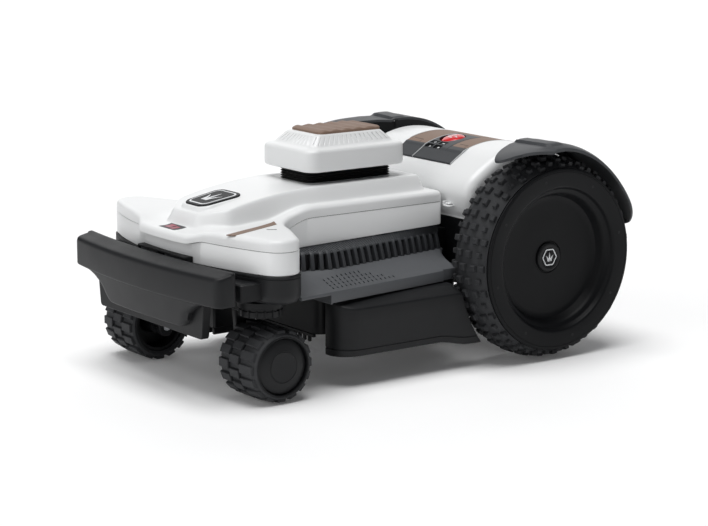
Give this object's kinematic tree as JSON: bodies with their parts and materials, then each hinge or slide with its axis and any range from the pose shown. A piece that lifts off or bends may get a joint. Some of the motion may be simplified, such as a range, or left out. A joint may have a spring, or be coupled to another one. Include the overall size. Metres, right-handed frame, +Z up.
{
  "type": "robotic lawn mower",
  "caption": "Robotic lawn mower with large knobbly drive wheels, swivelling front casters, a sprung bumper and a height-adjustable cutting head.",
  "frame": {"origin": "on the ground, at the middle of the whole machine's box", "axes": "+Z up; -Y the way it drives, with the bumper; +X its own left side"},
  "size_m": [0.456, 0.754, 0.342],
  "materials": {
    "white_shell": "satin moulded white",
    "charcoal_plastic": "fine moulded grain",
    "black_plastic": "fine moulded grain",
    "grey_plastic": "satin moulded grain",
    "brown_trim": "soft-touch satin",
    "red_button": "glossy",
    "bellows_rubber": "matt rubber",
    "tyre": "moulded rubber with knobs",
    "steel": "ground",
    "motor_casing": "cast",
    "battery_casing": "shrink-wrapped",
    "circuit_board": "solder mask"
  },
  "bodies": {
    "chassis": {"chassis_tray": "charcoal_plastic", "lower_cover": "white_shell", "upper_cover": "white_shell", "badge": "charcoal_plastic", "status_window": "grey_plastic", "contact_bridge": "black_plastic", "charging_contact_left": "steel", "charging_contact_right": "steel", "deck_housing": "grey_plastic", "side_skirt_left": "charcoal_plastic", "side_skirt_right": "charcoal_plastic", "vent_grille_left": "charcoal_plastic", "vent_grille_right": "charcoal_plastic", "comb_guard": "black_plastic", "rear_chassis": "black_plastic", "drive_motor_left": "motor_casing", "drive_motor_right": "motor_casing", "rear_cover": "white_shell", "saddle_trim_left": "brown_trim", "saddle_trim_right": "brown_trim", "keypad_panel": "charcoal_plastic", "fender_left": "grey_plastic", "fender_right": "grey_plastic", "battery_pack": "battery_casing", "control_board": "circuit_board", "bumper_guide_left": "steel", "bumper_guide_right": "steel"},
    "bumper": {"bumper": "charcoal_plastic"},
    "stop_button": {"stop_button": "red_button"},
    "key_1": {"key_1": "black_plastic"},
    "key_2": {"key_2": "black_plastic"},
    "key_3": {"key_3": "black_plastic"},
    "key_4": {"key_4": "black_plastic"},
    "cutting_head": {"head_cap": "white_shell", "head_pad": "brown_trim", "blade_motor": "motor_casing", "bellows": "bellows_rubber"},
    "blade": {"blade_hub": "steel", "star_blade": "steel", "blade_nut": "steel"},
    "drive_wheel_left": {"wheel_tyre_left": "tyre", "wheel_rim_left": "black_plastic", "hub_cap_left": "black_plastic", "wheel_shaft_left": "steel"},
    "drive_wheel_right": {"wheel_tyre_right": "tyre", "wheel_rim_right": "black_plastic", "hub_cap_right": "black_plastic", "wheel_shaft_right": "steel"},
    "caster_fork_left": {"caster_fork_left": "black_plastic", "caster_axle_left": "steel"},
    "caster_fork_right": {"caster_fork_right": "black_plastic", "caster_axle_right": "steel"},
    "caster_wheel_left": {"caster_tyre_left": "tyre", "caster_rim_left": "black_plastic", "caster_cap_left": "charcoal_plastic"},
    "caster_wheel_right": {"caster_tyre_right": "tyre", "caster_rim_right": "black_plastic", "caster_cap_right": "charcoal_plastic"}
  },
  "joints": [
    {"name": "bumper_slide", "type": "slide", "parent": "chassis", "child": "bumper", "axis": [0, 1, 0], "range_m": [0, 0.008], "stiffness_N_per_m": 3000},
    {"name": "stop_press", "type": "slide", "parent": "chassis", "child": "stop_button", "axis": [0, 0.2419, -0.9703], "range_m": [0, 0.004], "stiffness_N_per_m": 1200},
    {"name": "key_1_press", "type": "slide", "parent": "chassis", "child": "key_1", "axis": [0, 0.4067, -0.9135], "range_m": [0, 0.0008], "stiffness_N_per_m": 800},
    {"name": "key_2_press", "type": "slide", "parent": "chassis", "child": "key_2", "axis": [0, 0.4067, -0.9135], "range_m": [0, 0.0008], "stiffness_N_per_m": 800},
    {"name": "key_3_press", "type": "slide", "parent": "chassis", "child": "key_3", "axis": [0, 0.4067, -0.9135], "range_m": [0, 0.0008], "stiffness_N_per_m": 800},
    {"name": "key_4_press", "type": "slide", "parent": "chassis", "child": "key_4", "axis": [0, 0.4067, -0.9135], "range_m": [0, 0.0008], "stiffness_N_per_m": 800},
    {"name": "cutting_height", "type": "slide", "parent": "chassis", "child": "cutting_head", "axis": [0, 0, 1], "range_m": [-0.016, 0.025], "deforming": ["bellows"]},
    {"name": "blade_spin", "type": "hinge", "parent": "cutting_head", "child": "blade", "pos_m": [0, -0.0375, 0.06], "axis": [0, 0, 1], "continuous": true},
    {"name": "wheel_left_spin", "type": "hinge", "parent": "chassis", "child": "drive_wheel_left", "pos_m": [0.186, 0.2075, 0.15], "axis": [1, 0, 0], "continuous": true},
    {"name": "wheel_right_spin", "type": "hinge", "parent": "chassis", "child": "drive_wheel_right", "pos_m": [-0.186, 0.2075, 0.15], "axis": [1, 0, 0], "continuous": true},
    {"name": "caster_left_swivel", "type": "hinge", "parent": "chassis", "child": "caster_fork_left", "pos_m": [0.157, -0.269, 0.13], "axis": [0, 0, 1], "continuous": true},
    {"name": "caster_right_swivel", "type": "hinge", "parent": "chassis", "child": "caster_fork_right", "pos_m": [-0.157, -0.269, 0.13], "axis": [0, 0, 1], "continuous": true},
    {"name": "caster_left_spin", "type": "hinge", "parent": "caster_fork_left", "child": "caster_wheel_left", "pos_m": [0.157, -0.263, 0.0525], "axis": [1, 0, 0], "continuous": true},
    {"name": "caster_right_spin", "type": "hinge", "parent": "caster_fork_right", "child": "caster_wheel_right", "pos_m": [-0.157, -0.263, 0.0525], "axis": [1, 0, 0], "continuous": true}
  ]
}
